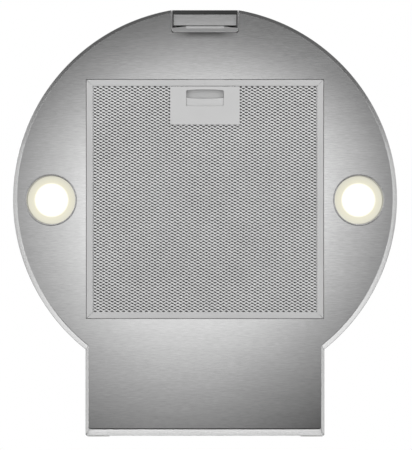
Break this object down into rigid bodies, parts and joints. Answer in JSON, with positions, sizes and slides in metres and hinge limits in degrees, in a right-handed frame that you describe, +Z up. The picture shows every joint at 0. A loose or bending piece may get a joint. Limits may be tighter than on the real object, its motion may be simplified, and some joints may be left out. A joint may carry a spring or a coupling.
{
  "type": "range hood",
  "caption": "Wall chimney range hood with a round steel canopy on a rectangular tail, drop-down grease filter, recessed lights, push-button control and telescopic chimney.",
  "frame": {"origin": "centre of the wall bracket's rear face, which lies on the wall", "axes": "+Z up, +Y into the wall, +X to the right when facing the wall; the canopy reaches towards -Y"},
  "size_m": [0.45, 0.4999, 0.713],
  "materials": {
    "brushed_panel": "brushed stainless steel, grain across the hood",
    "rim_steel": "smooth satin stainless steel",
    "inner_sheet": "galvanised sheet, matte",
    "filter_aluminium": "satin aluminium",
    "filter_mesh": "expanded aluminium mesh",
    "handle_plastic": "fine textured grey plastic",
    "light_trim": "bright plated ring",
    "light_lens": "frosted diffuser, lit",
    "control_metal": "satin aluminium",
    "black_glass": "gloss black",
    "button_plastic": "dark satin plastic",
    "dark_plastic": "moulded black plastic",
    "pale_plastic": "moulded pale plastic",
    "circuit_board": "lacquered circuit board",
    "spring_steel": "drawn steel",
    "cable_rubber": "matte cable sheath"
  },
  "bodies": {
    "hood": {"canopy_shell": "rim_steel", "bottom_panel": "brushed_panel", "top_plate": "brushed_panel", "filter_rail": "inner_sheet", "latch_keeper": "inner_sheet", "tail_partition": "inner_sheet", "rear_pad_left": "pale_plastic", "rear_pad_right": "pale_plastic", "wall_bracket": "inner_sheet", "hanger_plate": "inner_sheet", "light_bezel_left": "light_trim", "light_bezel_right": "light_trim", "light_lens_left": "light_lens", "light_lens_right": "light_lens", "light_board_left": "circuit_board", "light_board_right": "circuit_board", "light_housing_left": "filter_aluminium", "light_housing_right": "filter_aluminium", "control_housing": "control_metal", "control_fascia": "black_glass", "control_plate": "brushed_panel", "control_board": "circuit_board", "blower_case": "inner_sheet", "scroll_left": "dark_plastic", "scroll_right": "dark_plastic", "inlet_ring_left": "dark_plastic", "inlet_ring_right": "dark_plastic", "motor_body": "inner_sheet", "motor_bracket": "inner_sheet", "motor_capacitor": "pale_plastic", "collar_flange": "inner_sheet", "duct_collar": "dark_plastic", "flap_pin": "spring_steel", "electronics_box": "pale_plastic", "electronics_lid": "pale_plastic", "power_board": "circuit_board", "cable_gland": "dark_plastic", "control_cable": "cable_rubber", "light_cable_left": "cable_rubber", "light_cable_right": "cable_rubber", "lower_chimney": "brushed_panel"},
    "grease_filter": {"filter_frame": "filter_aluminium", "filter_mesh_lower": "filter_mesh", "filter_mesh_core": "filter_mesh", "filter_mesh_upper": "filter_mesh", "filter_handle_plate": "handle_plastic"},
    "filter_latch": {"latch_slider": "handle_plastic", "latch_tongue": "spring_steel", "latch_spring": "spring_steel"},
    "key_light": {"button_light": "button_plastic"},
    "key_low": {"button_low": "button_plastic"},
    "key_middle": {"button_middle": "button_plastic"},
    "key_high": {"button_high": "button_plastic"},
    "key_off": {"button_off": "button_plastic"},
    "rotor": {"impeller": "pale_plastic", "motor_shaft": "spring_steel"},
    "front_flap": {"flap_front": "dark_plastic"},
    "rear_flap": {"flap_rear": "dark_plastic"},
    "chimney_slide": {"upper_chimney": "brushed_panel", "chimney_bracket": "inner_sheet"}
  },
  "joints": [
    {"name": "filter_hinge", "type": "hinge", "parent": "hood", "child": "grease_filter", "pos_m": [0, -0.138, -0.1482], "axis": [1, 0, 0], "range_deg": [0, 80], "deforming": ["latch_tongue"]},
    {"name": "latch_slide", "type": "slide", "parent": "grease_filter", "child": "filter_latch", "axis": [0, 1, 0], "range_m": [0, 0.006], "stiffness_N_per_m": 400, "springref_m": -0.002, "deforming": ["latch_spring"]},
    {"name": "press_light", "type": "slide", "parent": "hood", "child": "key_light", "axis": [0, 1, 0], "range_m": [0, 0.001], "stiffness_N_per_m": 800},
    {"name": "press_low", "type": "slide", "parent": "hood", "child": "key_low", "axis": [0, 1, 0], "range_m": [0, 0.001], "stiffness_N_per_m": 800},
    {"name": "press_middle", "type": "slide", "parent": "hood", "child": "key_middle", "axis": [0, 1, 0], "range_m": [0, 0.001], "stiffness_N_per_m": 800},
    {"name": "press_high", "type": "slide", "parent": "hood", "child": "key_high", "axis": [0, 1, 0], "range_m": [0, 0.001], "stiffness_N_per_m": 800},
    {"name": "press_off", "type": "slide", "parent": "hood", "child": "key_off", "axis": [0, 1, 0], "range_m": [0, 0.001], "stiffness_N_per_m": 800},
    {"name": "impeller_spin", "type": "hinge", "parent": "hood", "child": "rotor", "pos_m": [0, -0.16, 0.02], "axis": [1, 0, 0], "continuous": true},
    {"name": "flap_front_hinge", "type": "hinge", "parent": "hood", "child": "front_flap", "pos_m": [0, -0.12, 0.172], "axis": [-1, 0, 0], "range_deg": [0, 80]},
    {"name": "flap_rear_hinge", "type": "hinge", "parent": "hood", "child": "rear_flap", "pos_m": [0, -0.12, 0.172], "axis": [1, 0, 0], "range_deg": [0, 80]},
    {"name": "chimney_telescope", "type": "slide", "parent": "hood", "child": "chimney_slide", "axis": [0, 0, 1], "range_m": [-0.21, 0.06]}
  ]
}
